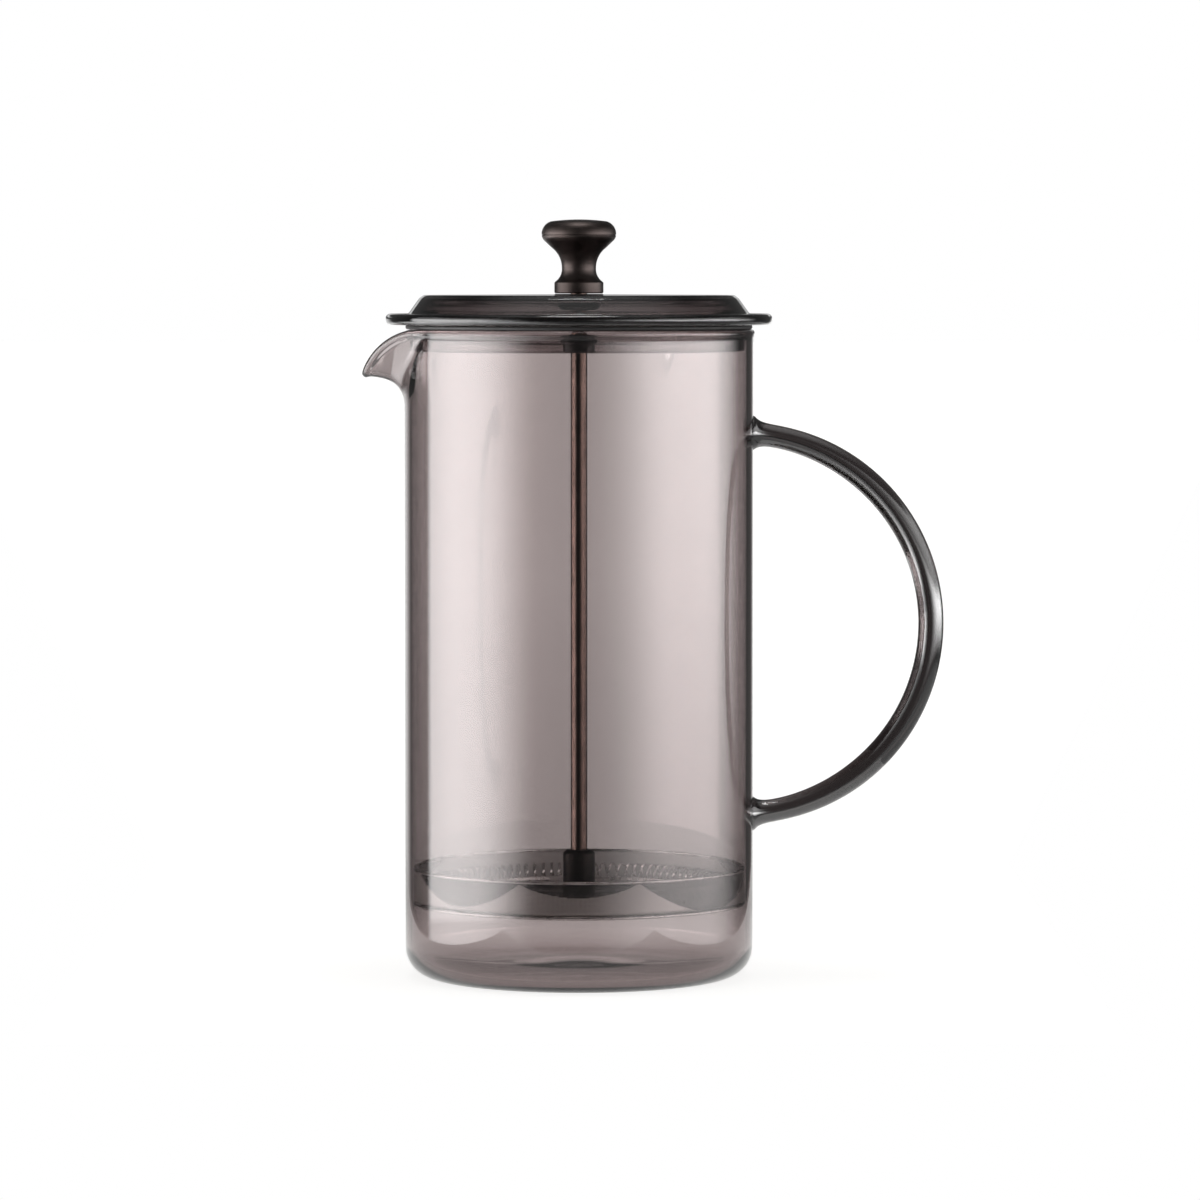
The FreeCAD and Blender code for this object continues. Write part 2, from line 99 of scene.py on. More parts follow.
def mesh_from(name, points, faces):
    """A mesh with its faces turned outward."""
    mesh = bpy.data.meshes.new(name)
    mesh.from_pydata(points, [], faces)
    work = bmesh.new()
    work.from_mesh(mesh)
    bmesh.ops.remove_doubles(work, verts=work.verts, dist=1e-7)
    bmesh.ops.recalc_face_normals(work, faces=work.faces)
    work.to_mesh(mesh)
    work.free()
    mesh.update()
    return mesh


def rounded(corners, steps=6):
    """Points of a closed outline of (radius, height, rounding) corners, each rounded by an arc."""
    points = []
    count = len(corners)
    for index, (r, z, bend) in enumerate(corners):
        here = Vector((r, z))
        if bend <= 0:
            points.append(here)
            continue
        before = Vector(corners[index - 1][:2]) - here
        after = Vector(corners[(index + 1) % count][:2]) - here
        reach = min(before.length, after.length) * 0.49
        before.normalize()
        after.normalize()
        half = before.angle(after) / 2
        back = min(bend / math.tan(half), reach)
        true_bend = back * math.tan(half)
        centre = here + (before + after).normalized() * (true_bend / math.sin(half))
        start = here + before * back - centre
        stop = here + after * back - centre
        sweep = start.angle_signed(stop)
        for step in range(steps + 1):
            turned = start.copy()
            turned.rotate(Matrix.Rotation(-sweep * step / steps, 2))
            points.append(centre + turned)
    return points


def lathe_mesh(name, outline, segments=160, closed=True):
    """The mesh of an outline of (radius, height) points turned about Z."""
    points = []
    faces = []
    rings = []
    for r, z in outline:
        if r < 1e-6:
            rings.append([len(points)] * segments)
            points.append((0, 0, z))
            continue
        first = len(points)
        for column in range(segments):
            angle = TURN * column / segments
            points.append((r * math.cos(angle), r * math.sin(angle), z))
        rings.append(list(range(first, first + segments)))
    pairs = list(zip(rings, rings[1:] + rings[:1])) if closed else list(zip(rings, rings[1:]))
    for ring, following in pairs:
        for column in range(segments):
            after = (column + 1) % segments
            face = []
            for corner in (ring[column], ring[after], following[after], following[column]):
                if corner not in face:
                    face.append(corner)
            if len(face) > 2:
                faces.append(face)
    return mesh_from(name, points, faces)


def lathe(name, corners, segments=160, steps=6, sharp=32):
    """A piece of revolution with rounded corners, given as (radius, height, rounding)."""
    outline = [(max(point.x, 0), point.y) for point in rounded(corners, steps)]
    return link(name, lathe_mesh(name, outline, segments), sharp)


def apply_modifiers(piece):
    """Replace the piece's mesh by its evaluated one and drop the modifiers."""
    graph = bpy.context.evaluated_depsgraph_get()
    baked = bpy.data.meshes.new_from_object(piece.evaluated_get(graph))
    piece.modifiers.clear()
    piece.data = baked


def boolean(piece, tool, operation, sharp=32):
    """Join, cut or intersect the piece with a tool, which is then removed."""
    change = piece.modifiers.new("boolean", "BOOLEAN")
    change.operation = operation
    change.solver = "EXACT"
    change.object = tool
    bpy.context.view_layer.update()
    apply_modifiers(piece)
    bpy.data.objects.remove(tool)
    piece.data.polygons.foreach_set("use_smooth", [True] * len(piece.data.polygons))
    piece.data.set_sharp_from_angle(angle=math.radians(sharp))


def soften(piece, width, segments=2):
    """A small bevel on the piece's hard edges."""
    bevel = piece.modifiers.new("bevel", "BEVEL")
    bevel.width = width
    bevel.segments = segments
    bevel.limit_method = "ANGLE"
    bevel.angle_limit = math.radians(40)
    bpy.context.view_layer.update()
    apply_modifiers(piece)
    piece.data.polygons.foreach_set("use_smooth", [True] * len(piece.data.polygons))
    piece.data.set_sharp_from_angle(angle=math.radians(40))


def dress(piece, material, body, slot, *nodes):
    """Give the piece its material and its body, and hide the CAD nodes that it stands for. The slot is not
    used.
    """
    piece.data.materials.clear()
    piece.data.materials.append(material)
    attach(piece, body)
    if nodes:
        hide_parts(*nodes)
    return piece


# ------------------------------------------------------------------ material helpers
def new_material(name):
    material = bpy.data.materials.new(name)
    material.use_nodes = True
    shader = material.node_tree.nodes["Principled BSDF"]
    return material, material.node_tree, shader


def combine(tree, operation, *items):
    """A math node on numbers and sockets."""
    node = tree.nodes.new("ShaderNodeMath")
    node.operation = operation
    for index, item in enumerate(items):
        if isinstance(item, (int, float)):
            node.inputs[index].default_value = item
        else:
            tree.links.new(item, node.inputs[index])
    return node.outputs[0]


def noise(tree, scale, stretch=(1, 1, 1), detail=4.0):
    """A noise texture on the piece's own coordinates, stretched along its axes."""
    place = tree.nodes.new("ShaderNodeTexCoord")
    mapping = tree.nodes.new("ShaderNodeMapping")
    mapping.inputs["Scale"].default_value = stretch
    texture = tree.nodes.new("ShaderNodeTexNoise")
    texture.inputs["Scale"].default_value = scale
    texture.inputs["Detail"].default_value = detail
    tree.links.new(place.outputs["Object"], mapping.inputs["Vector"])
    tree.links.new(mapping.outputs["Vector"], texture.inputs["Vector"])
    return texture.outputs["Fac"]


def spread(tree, source, low, high, start=0.3, stop=0.7):
    """Map a factor to a range."""
    span = tree.nodes.new("ShaderNodeMapRange")
    span.inputs["From Min"].default_value = start
    span.inputs["From Max"].default_value = stop
    span.inputs["To Min"].default_value = low
    span.inputs["To Max"].default_value = high
    tree.links.new(source, span.inputs["Value"])
    return span.outputs["Result"]


def mix_colour(tree, factor, first, second):
    """Mix two colours, each given as numbers or as a socket."""
    mix = tree.nodes.new("ShaderNodeMix")
    mix.data_type = "RGBA"
    for side, colour in (("A", first), ("B", second)):
        if isinstance(colour, tuple):
            mix.inputs[side].default_value = (*colour, 1)
        else:
            tree.links.new(colour, mix.inputs[side])
    tree.links.new(factor, mix.inputs["Factor"])
    return mix.outputs["Result"]


def add_bump(tree, height, strength, distance):
    bump = tree.nodes.new("ShaderNodeBump")
    bump.inputs["Strength"].default_value = strength
    bump.inputs["Distance"].default_value = distance
    tree.links.new(height, bump.inputs["Height"])
    return bump.outputs["Normal"]


GLASS_IOR = 1.473
GLAZE_IOR = 1.9
GLAZE_ROUGHNESS = 0.015
WIPED_ROUGHNESS = 0.012


def smoked_glass(name, tint, density, wave=0.006, specular=0.5, coat=0.0):
    """Polished smoked glass: the smoke is in its depth, with faint drawing waves and wiping marks."""
    material, tree, shader = new_material(name)
    shader.inputs["Base Color"].default_value = (1, 1, 1, 1)
    shader.inputs["Transmission Weight"].default_value = 1
    shader.inputs["IOR"].default_value = GLASS_IOR
    shader.inputs["Specular IOR Level"].default_value = specular
    shader.inputs["Coat Weight"].default_value = coat
    shader.inputs["Coat IOR"].default_value = GLAZE_IOR
    shader.inputs["Coat Roughness"].default_value = GLAZE_ROUGHNESS
    wipe = noise(tree, 38, (1, 1, 0.35), 1.5)
    tree.links.new(spread(tree, wipe, 0.0, WIPED_ROUGHNESS, 0.48, 0.75), shader.inputs["Roughness"])
    if wave:
        waves = noise(tree, 26, (1, 1, 0.22), 2)
        tree.links.new(add_bump(tree, waves, wave, 0.0006), shader.inputs["Normal"])
    smoke = tree.nodes.new("ShaderNodeVolumeAbsorption")
    smoke.inputs["Color"].default_value = (*tint, 1)
    smoke.inputs["Density"].default_value = density
    tree.links.new(smoke.outputs["Volume"], tree.nodes["Material Output"].inputs["Volume"])
    return material


def metal(name, dark, light, rough, lines, line_scale):
    """Metal with fine machining lines, cloudy tone and roughness. lines stretches them along an axis."""
    material, tree, shader = new_material(name)
    shader.inputs["Metallic"].default_value = 1
    cloud = noise(tree, 180, (1, 1, 1), 6)
    tree.links.new(mix_colour(tree, spread(tree, cloud, 0, 1), dark, light), shader.inputs["Base Color"])
    fine = noise(tree, line_scale, lines, 3)
    gloss = combine(tree, "ADD", spread(tree, cloud, *rough), spread(tree, fine, -0.04, 0.05))
    tree.links.new(gloss, shader.inputs["Roughness"])
    tree.links.new(add_bump(tree, fine, 0.16, 0.00003), shader.inputs["Normal"])
    return material


def moulded(name, dark, light, rough, grain=2600, sheen=0.0):
    """Moulded rubber or plastic with a fine matt grain."""
    material, tree, shader = new_material(name)
    cloud = noise(tree, 240, (1, 1, 1), 5)
    tree.links.new(mix_colour(tree, spread(tree, cloud, 0, 1), dark, light), shader.inputs["Base Color"])
    tree.links.new(spread(tree, cloud, rough[0], rough[1]), shader.inputs["Roughness"])
    fine = noise(tree, grain, (1, 1, 1), 2)
    tree.links.new(add_bump(tree, fine, 0.25, 0.00004), shader.inputs["Normal"])
    if sheen:
        shader.inputs["Sheen Weight"].default_value = sheen
    return material


# the share of the screen that its wires cover, as woven and in the folds that carry painted shade
MESH_COVER = 0.55
FOLD_SHADE_COVER = 0.45


def woven(name, pitch):
    """Fine woven steel screen: two sets of wires over and under each other, on the UV grid in metres."""
    material, tree, shader = new_material(name)
    shader.inputs["Metallic"].default_value = 0.9
    shader.inputs["Alpha"].default_value = MESH_COVER
    place = tree.nodes.new("ShaderNodeTexCoord")
    split = tree.nodes.new("ShaderNodeSeparateXYZ")
    tree.links.new(place.outputs["UV"], split.inputs["Vector"])
    waves = []
    for axis in ("X", "Y"):
        angle = combine(tree, "MULTIPLY", split.outputs[axis], math.pi / pitch)
        waves.append(combine(tree, "ABSOLUTE", combine(tree, "SINE", angle)))
    height = combine(tree, "MAXIMUM", *waves)
    cloud = noise(tree, 60, (1, 1, 1), 4)
    # painted shade and highlight: the colour follows the wire height, darker in the gaps between the wires
    # and lighter along their crowns
    low = mix_colour(tree, spread(tree, cloud, 0, 1), (0.30, 0.292, 0.284), (0.37, 0.36, 0.35))
    shade = mix_colour(tree, spread(tree, height, 0, 1, 0.55, 0.95), low, (0.86, 0.84, 0.82))
    tree.links.new(shade, shader.inputs["Base Color"])
    tree.links.new(spread(tree, cloud, 0.36, 0.5), shader.inputs["Roughness"])
    tree.links.new(add_bump(tree, height, 0.5, 0.00006), shader.inputs["Normal"])
    return material


TURNED = (0.6, 0.6, 22)
BEAKER_GLASS = smoked_glass("smoked_glass", (0.60, 0.536, 0.533), 720)
HANDLE_GLASS = smoked_glass("handle_glass", (0.50, 0.46, 0.46), 1150, 0, 0.8, 0.7)
LID_GLASS = smoked_glass("lid_glass", (0.48, 0.43, 0.43), 840, 0, 0.5, 0.12)
INSERT_GLASS = smoked_glass("insert_glass", (0.58, 0.52, 0.52), 600, 0)
KNOB_METAL = metal("knob_metal", (0.040, 0.0318, 0.030), (0.064, 0.0513, 0.048), (0.35, 0.43), TURNED, 260)
HUB_METAL = metal("hub_metal", (0.018, 0.0155, 0.015), (0.030, 0.026, 0.0245), (0.38, 0.46), TURNED, 260)
ROD_METAL = metal("rod_metal", (0.070, 0.051, 0.044), (0.110, 0.080, 0.070), (0.10, 0.16), (9, 9, 0.12), 300)
PLATE_STEEL = metal("plate_steel", (0.56, 0.54, 0.53), (0.68, 0.66, 0.65), (0.22, 0.30), (1, 14, 1), 160)
CROSS_STEEL = metal("cross_steel", (0.52, 0.50, 0.49), (0.64, 0.62, 0.61), (0.24, 0.32), (14, 1, 1), 160)
WIRE_STEEL = metal("spring_steel", (0.78, 0.77, 0.76), (0.92, 0.91, 0.90), (0.16, 0.24), (1, 1, 1), 900)
RIM_STEEL = metal("rim_steel", (0.55, 0.54, 0.53), (0.70, 0.69, 0.68), (0.24, 0.32), (0.6, 0.6, 20), 220)
NUT_STEEL = metal("nut_steel", (0.50, 0.49, 0.48), (0.64, 0.63, 0.62), (0.24, 0.34), (1, 1, 9), 420)
# painted shade: a darker steel for the folds of the screen's edge, standing in for their shading
FOLD_SHADE_STEEL = metal("fold_shade_steel", (0.080, 0.081, 0.078), (0.120, 0.121, 0.117), (0.30, 0.42),
                      (1, 1, 9), 200)
FOLD_SHADE_STEEL.node_tree.nodes["Principled BSDF"].inputs["Alpha"].default_value = FOLD_SHADE_COVER
MESH_STEEL = woven("mesh_steel", 0.34 * MM)
BLACK_RUBBER = moulded("black_rubber", (0.0065, 0.006, 0.006), (0.011, 0.0102, 0.010), (0.50, 0.66),
                       2600, 0.02)
BLACK_PLASTIC = moulded("black_plastic", (0.006, 0.0052, 0.005), (0.011, 0.0095, 0.009), (0.34, 0.46), 3600)


# ------------------------------------------------------------------ beaker with its spout and handle
SPOUT_START = 156.5 * MM
SPOUT_HALF = math.radians(31)
SPOUT_LIP_OUT = SPOUT_TIP - 1.12 * MM
SPOUT_TIP_SLOPE = math.radians(4)
SPOUT_FALL_OFF = 2.7
LIP_OVERHANG = 1.42 * MM
LIP_BEND = 18.0 * MM
LIP_CENTRE = Vector((43.35 * MM, 160.8 * MM))
BASE_CORNER = 8.0 * MM
FLOOR_THICK = 2.6 * MM
PUNT_RISE = 1.4 * MM
PUNT_RADIUS = 16.0 * MM
BEAD_HEIGHT = 2.0 * MM
BEAD_PROUD = 0.38 * MM


def spout_share(azimuth):
    """How much of the spout's reach the rim has at an azimuth measured from -X."""
    turn = min(abs(azimuth) / SPOUT_HALF, 1)
    return (1 - turn ** 2) ** SPOUT_FALL_OFF


def lip_level(out):
    """Level of the lip's top at a distance from the axis, along the arc that it follows in side view."""
    beyond = min(max(out - LIP_CENTRE.x, 0), LIP_BEND)
    return min(LIP_CENTRE.y + math.sqrt(LIP_BEND ** 2 - beyond ** 2), BEAKER_HEIGHT)


def wall_point(azimuth, rise):
    """Outer wall point at an azimuth from -X and a share of the way from the spout's start to the rim."""
    reach = spout_share(azimuth)
    end_out = BEAKER_RADIUS + (SPOUT_LIP_OUT - BEAKER_RADIUS) * reach
    slope = math.radians(90) + (SPOUT_TIP_SLOPE - math.radians(90)) * reach ** 0.6
    level = lip_level((end_out + LIP_OVERHANG * reach) * math.cos(azimuth)) if reach > 0 else BEAKER_HEIGHT
    end_up = level - BEAD_HEIGHT / 2 - (WALL - BEAD_HEIGHT / 2) * math.cos(slope)
    tall = end_up - SPOUT_START
    first = Vector((BEAKER_RADIUS, SPOUT_START))
    second = first + Vector((0, tall * (0.34 + 0.5 * reach)))
    last = Vector((end_out, end_up))
    third = last - Vector((math.cos(slope), math.sin(slope))) * (tall * 0.34 + 3.0 * MM * reach)
    left = 1 - rise
    spot = (first * left ** 3 + second * 3 * left ** 2 * rise
            + third * 3 * left * rise ** 2 + last * rise ** 3)
    turn = math.pi - azimuth
    return Vector((spot.x * math.cos(turn), spot.x * math.sin(turn), spot.y))


def column_angles():
    """Azimuths from -X all the way round, closer together across the spout."""
    window = math.radians(41)
    fine = 124
    coarse = 224
    angles = [-window + 2 * window * step / fine for step in range(fine)]
    angles += [window + (TURN - 2 * window) * step / coarse for step in range(coarse)]
    return angles


def ring_points(radius, height, angles):
    """A level ring of points, one at each azimuth from -X."""
    return [Vector((radius * math.cos(math.pi - a), radius * math.sin(math.pi - a), height)) for a in angles]


def corner_rows(radius, height, bend, angles, steps=10):
    """Rows round a base corner, from the flat underside up to the wall."""
    rows = []
    for step in range(steps + 1):
        turn = math.pi / 2 * step / steps
        out = radius - bend + bend * math.sin(turn)
        rows.append(ring_points(out, height + bend - bend * math.cos(turn), angles))
    return rows


def grid_normals(rows):
    """Normals of a closed band of rows by differences along and across it."""
    normals = []
    for index, row in enumerate(rows):
        below = rows[max(index - 1, 0)]
        above = rows[min(index + 1, len(rows) - 1)]
        line = []
        for column in range(len(row)):
            across = row[(column + 1) % len(row)] - row[column - 1]
            along = above[column] - below[column]
            line.append(across.cross(along).normalized())
        normals.append(line)
    return normals


def clear_of_bore(point):
    """The point, moved straight out to the bore's radius where it would narrow the way of the filter."""
    out = point.xy.length
    grow = max((BEAKER_RADIUS - WALL) / out, 1)
    return Vector((point.x * grow, point.y * grow, point.z))


WALL_LEVELS = 40
SPOUT_LEVELS = 44
BEAD_STEPS = 8
# heights of the beaker's floor on its way out from the middle, as shares of the rise there
FLOOR_RISE = ((3, 0.98), (7, 0.75), (11, 0.35), (16, 0.06), (22, 0), (32, 0))


def straight_wall(radius, low, angles):
    """Rows of the plain wall, from above a height up to the start of the spout."""
    return [ring_points(radius, low + (SPOUT_START - low) * (step + 1) / WALL_LEVELS, angles)
            for step in range(WALL_LEVELS)]


def outward_normals(band, angles):
    """Normals of the spout's rows, which follow two rows of plain wall in the band."""
    normals = grid_normals(band)[2:]
    far_side = len(angles) // 2
    if normals[0][far_side].x * band[2][far_side].x < 0:
        normals = [[-n for n in line] for line in normals]
    return normals


def swell_bead(outer, inner, normals):
    """Swell both faces of the last stretch below the rim."""
    for index, (row, line) in enumerate(zip(outer, normals)):
        for column, point in enumerate(row):
            away = (outer[-1][column] - point).length
            swell = math.exp(-(away / (BEAD_HEIGHT * 0.45)) ** 2) if away < BEAD_HEIGHT * 2 else 0
            row[column] = point + line[column] * BEAD_PROUD * swell
            inner[index][column] -= line[column] * BEAD_PROUD * 0.25 * swell


def rim_cap(outer_edge, inner_edge, upward):
    """Rows of the half round that closes the rim."""
    cap = []
    for step in range(1, BEAD_STEPS):
        turn = math.pi * step / BEAD_STEPS
        line = []
        for outside, inside, up in zip(outer_edge, inner_edge, upward):
            middle = (outside + inside) / 2
            half = (outside - inside) / 2
            line.append(middle + half * math.cos(turn) + up * half.length * math.sin(turn))
        cap.append(line)
    return cap


def make_beaker_shell():
    """The glass wall from one grid: underside, wall, spout, beaded rim, inside wall and floor."""
    angles = column_angles()
    outer = [ring_points(radius, 0, angles) for radius in (PUNT_RADIUS, 30 * MM)]
    outer += corner_rows(BEAKER_RADIUS, 0, BASE_CORNER, angles)
    lower_wall = straight_wall(BEAKER_RADIUS, BASE_CORNER, angles)
    spout = [[wall_point(angle if angle < math.pi else angle - TURN, step / SPOUT_LEVELS) for angle in angles]
             for step in range(1, SPOUT_LEVELS + 1)]
    normals = outward_normals(lower_wall[-2:] + spout, angles)
    inner_spout = [[clear_of_bore(point - n * WALL) for point, n in zip(row, line)]
                   for row, line in zip(spout, normals)]
    upward = [(above - below).normalized() for above, below in zip(spout[-1], spout[-2])]
    swell_bead(spout, inner_spout, normals)
    cap = rim_cap(spout[-1], inner_spout[-1], upward)
    inner_bend = BASE_CORNER - WALL
    inside = [ring_points(radius * MM, FLOOR_THICK + PUNT_RISE * share, angles)
              for radius, share in FLOOR_RISE]
    inside += corner_rows(BEAKER_RADIUS - WALL, FLOOR_THICK, inner_bend, angles)
    inside += straight_wall(BEAKER_RADIUS - WALL, FLOOR_THICK + inner_bend, angles) + inner_spout
    rows = outer + lower_wall + spout + cap + inside[::-1]
    points = [point for row in rows for point in row]
    count = len(angles)
    faces = []
    for index in range(len(rows) - 1):
        for column in range(count):
            after = (column + 1) % count
            faces.append((index * count + column, index * count + after,
                          (index + 1) * count + after, (index + 1) * count + column))
    bottom = len(points)
    points.append(Vector((0, 0, 0)))
    points.append(Vector((0, 0, FLOOR_THICK + PUNT_RISE)))
    last = (len(rows) - 1) * count
    for column in range(count):
        after = (column + 1) % count
        faces.append((bottom, column, after))
        faces.append((bottom + 1, last + after, last + column))
    return link("beaker_glass", mesh_from("beaker_glass", points, faces), 60)


HANDLE_CENTRE_OUT = 44.6 * MM
HANDLE_ROD = 3.5 * MM
HANDLE_BEND = handle_high.x - HANDLE_ROD - HANDLE_CENTRE_OUT
HANDLE_CENTRE_UP = (handle_low.z + handle_high.z) / 2
HANDLE_NECK = 0.42 * MM
HANDLE_NECK_REACH = 24 * MM
FOOT_FLARE = 1.9 * MM
FOOT_REACH = 1.5 * MM
JOINT_GAP = 0.015 * MM


def make_handle_rod():
    """The bent glass rod, thinner towards its ends, each flared where it is fused to the wall."""
    end = math.acos((BEAKER_RADIUS - WALL / 2 - HANDLE_CENTRE_OUT) / HANDLE_BEND)
    stations = []
    steps = 150
    for step in range(steps + 1):
        share = 2 * step / steps - 1
        eased = share * (1 - 0.22 * share ** 2) / 0.78
        stations.append(eased * end)
    wall_turn = math.acos((BEAKER_RADIUS - HANDLE_CENTRE_OUT) / HANDLE_BEND)
    sides = 48
    points = []
    faces = []
    for turn in stations:
        from_wall = max((wall_turn - abs(turn)) * HANDLE_BEND, 0)
        radius = HANDLE_ROD - HANDLE_NECK * math.exp(-(from_wall / HANDLE_NECK_REACH) ** 2)
        radius += FOOT_FLARE * math.exp(-from_wall / FOOT_REACH)
        out = Vector((math.cos(turn), 0, math.sin(turn)))
        centre = Vector((HANDLE_CENTRE_OUT, 0, HANDLE_CENTRE_UP)) + out * HANDLE_BEND
        for side in range(sides):
            angle = TURN * side / sides
            points.append(centre + out * radius * math.cos(angle) + Vector((0, radius * math.sin(angle), 0)))
    for station in range(len(stations) - 1):
        for side in range(sides):
            after = (side + 1) % sides
            low = station * sides
            faces.append((low + side, low + after, low + sides + after, low + sides + side))
    faces.append(tuple(range(sides)))
    last = (len(stations) - 1) * sides
    faces.append(tuple(range(last, last + sides)))
    return link("handle_rod", mesh_from("handle_rod", points, faces))


def make_beaker():
    dress(make_beaker_shell(), BEAKER_GLASS, "beaker", "smoked_glass", "beaker")


def make_handle():
    """The rod ends in hollows that follow the wall."""
    rod = make_handle_rod()
    wall = BEAKER_RADIUS + JOINT_GAP
    mesh = lathe_mesh("wall", [(0, 0), (wall, 0), (wall, BEAKER_HEIGHT), (0, BEAKER_HEIGHT)], 288)
    boolean(rod, link("wall", mesh), "DIFFERENCE", 48)
    dress(rod, HANDLE_GLASS, "beaker", "handle_glass", "handle")


# ------------------------------------------------------------------ lid
def make_lid_cover():
    low, top = cover_low.z, cover_high.z
    flange_top = low + 3.0 * MM
    edge = min(cover_high.x, cover_high.y) - 0.01 * MM
    inner = 43.8 * MM
    hole = 5.0 * MM
    thick = 2.0 * MM
    piece = lathe("lid_cover_glass", [
        (hole, top - thick, 0.3 * MM),
        (41.2 * MM, top - thick, 1.6 * MM),
        (inner, flange_top - 0.2 * MM, 0.9 * MM),
        (inner, low, 0.3 * MM),
        (edge, low, 1.35 * MM),
        (edge, flange_top, 1.35 * MM),
        (46.9 * MM, flange_top, 0.5 * MM),
        (43.9 * MM, top - 0.9 * MM, 1.2 * MM),
        (42.6 * MM, top, 1.2 * MM),
        (hole, top, 0.3 * MM),
    ], 288, 8, 50)
    dress(piece, LID_GLASS, "lid", "lid_glass", "lid_cover")


def make_lid_insert():
    """The plate and skirt under the dome, with the pouring slots cut towards the spout."""
    low, top = insert_low.z, insert_high.z - 0.03 * MM
    edge = insert_high.x
    thick = 1.6 * MM
    skirt = 1.8 * MM
    hole = 3.7 * MM
    piece = lathe("lid_insert_glass", [
        (hole, top - thick, 0.2 * MM),
        (edge - skirt, top - thick, 0.8 * MM),
        (edge - skirt, low, 0.6 * MM),
        (edge, low, 0.6 * MM),
        (edge, top, 0.5 * MM),
        (hole, top, 0.2 * MM),
    ], 256, 6, 50)
    for index in range(5):
        slot = bpy.data.meshes.new("slot")
        work = bmesh.new()
        size = Matrix.Diagonal((12 * MM, 3 * MM, 4 * MM, 1))
        place = Matrix.Translation((-edge + 1 * MM, (index - 2) * 9 * MM, low + 2.8 * MM))
        bmesh.ops.create_cube(work, size=1, matrix=place @ size)
        work.to_mesh(slot)
        work.free()
        boolean(piece, link("slot", slot), "DIFFERENCE", 50)
    dress(piece, INSERT_GLASS, "lid", "insert_glass", "lid_insert")


def make_lid_seal():
    inner = seal_high.x - 2.0 * MM
    piece = lathe("seal_ring", [
        (inner, seal_low.z, 0.35 * MM), (seal_high.x, seal_low.z, 0.55 * MM),
        (seal_high.x, seal_high.z, 0.55 * MM), (inner, seal_high.z, 0.35 * MM)], 224)
    dress(piece, BLACK_RUBBER, "seal", "black_seal", "lid_seal")


def make_bushes():
    bore = ROD_RADIUS + 0.06 * MM
    top = bush_high.z
    under = top - 0.3 * MM - 2.0 * MM
    piece = lathe("upper_bush_rubber", [
        (bore, bush_low.z, 0.2 * MM), (4.7 * MM, bush_low.z, 0.5 * MM),
        (6.2 * MM, under - 0.1 * MM, 0.3 * MM), (4.95 * MM, under, 0.1 * MM),
        (4.95 * MM, top - 0.3 * MM, 0.05 * MM), (6.7 * MM, top - 0.3 * MM, 0.1 * MM),
        (6.7 * MM, top, 0.14 * MM), (bore, top, 0.1 * MM)], 96)
    dress(piece, BLACK_RUBBER, "lid", "black_bush", "upper_bush")
    low, high = collar_low.z, collar_high.z
    seat = insert_high.z - 1.66 * MM
    piece = lathe("lower_bush_collar", [
        (bore, low, 0.3 * MM), (4.25 * MM, low, 0.45 * MM), (4.4 * MM, seat - 1.7 * MM, 0.8 * MM),
        (5.1 * MM, seat - 0.9 * MM, 0.3 * MM), (5.1 * MM, seat, 0.15 * MM), (3.6 * MM, seat, 0.05 * MM),
        (3.6 * MM, high, 0.25 * MM), (bore, high, 0.25 * MM)], 96)
    dress(piece, BLACK_PLASTIC, "bush", "black_collar", "lower_bush")


# ------------------------------------------------------------------ knob, rod and hub
def arc_points(start, stop, bend, steps=10):
    """Points of an arc between two outline points. A positive bend turns left, a negative one right."""
    chord = stop - start
    side = Vector((-chord.y, chord.x)).normalized()
    depth = math.sqrt(max(bend ** 2 - (chord.length / 2) ** 2, 0))
    centre = (start + stop) / 2 + side * math.copysign(depth, bend)
    first = start - centre
    sweep = first.angle_signed(stop - centre)
    points = []
    for step in range(steps):
        spoke = first.copy()
        spoke.rotate(Matrix.Rotation(-sweep * step / steps, 2))
        points.append(centre + spoke)
    return points


def make_knob():
    """The waisted knob: base with a light top bevel, hollow neck, round cap with a fine turned line."""
    base = knob_low.z
    corners = [
        (ROD_RADIUS, 11.0, 0), (ROD_RADIUS, 0.6, 0), (5.4 * MM, 0.6, 0), (5.4 * MM, 0.0, 0),
        (6.45 * MM, 0.0, 0), (6.75 * MM, 0.30, 0), (6.75 * MM, 2.95, 0), (6.42 * MM, 3.3, -4.2),
        (4.7 * MM, 7.0, -6.95), (7.4 * MM, 12.5, 0), (9.3 * MM, 14.3, 2.6), (10.22 * MM, 15.85, 0),
        (10.1 * MM, 15.95, 0), (10.1 * MM, 16.1, 0), (10.24 * MM, 16.2, 3.55), (7.6 * MM, 19.8, 0),
    ]
    outline = [Vector((0, base + 11.0 * MM))]
    spots = [Vector((r, base + z * MM)) for r, z, _ in corners]
    for index, (_, _, bend) in enumerate(corners[:-1]):
        if bend:
            outline += arc_points(spots[index], spots[index + 1], bend * MM, 14)
        else:
            outline.append(spots[index])
    top = Vector((0, knob_high.z))
    rise = top.y - spots[-1].y
    crown = (spots[-1].x ** 2 + rise ** 2) / (2 * rise)
    outline += arc_points(spots[-1], top, crown, 14)
    outline.append(top)
    mesh = lathe_mesh("knob_turned", [(max(p.x, 0), p.y) for p in outline], 144)
    dress(link("knob_turned", mesh, 34), KNOB_METAL, "plunger", "knob_metal", "knob")


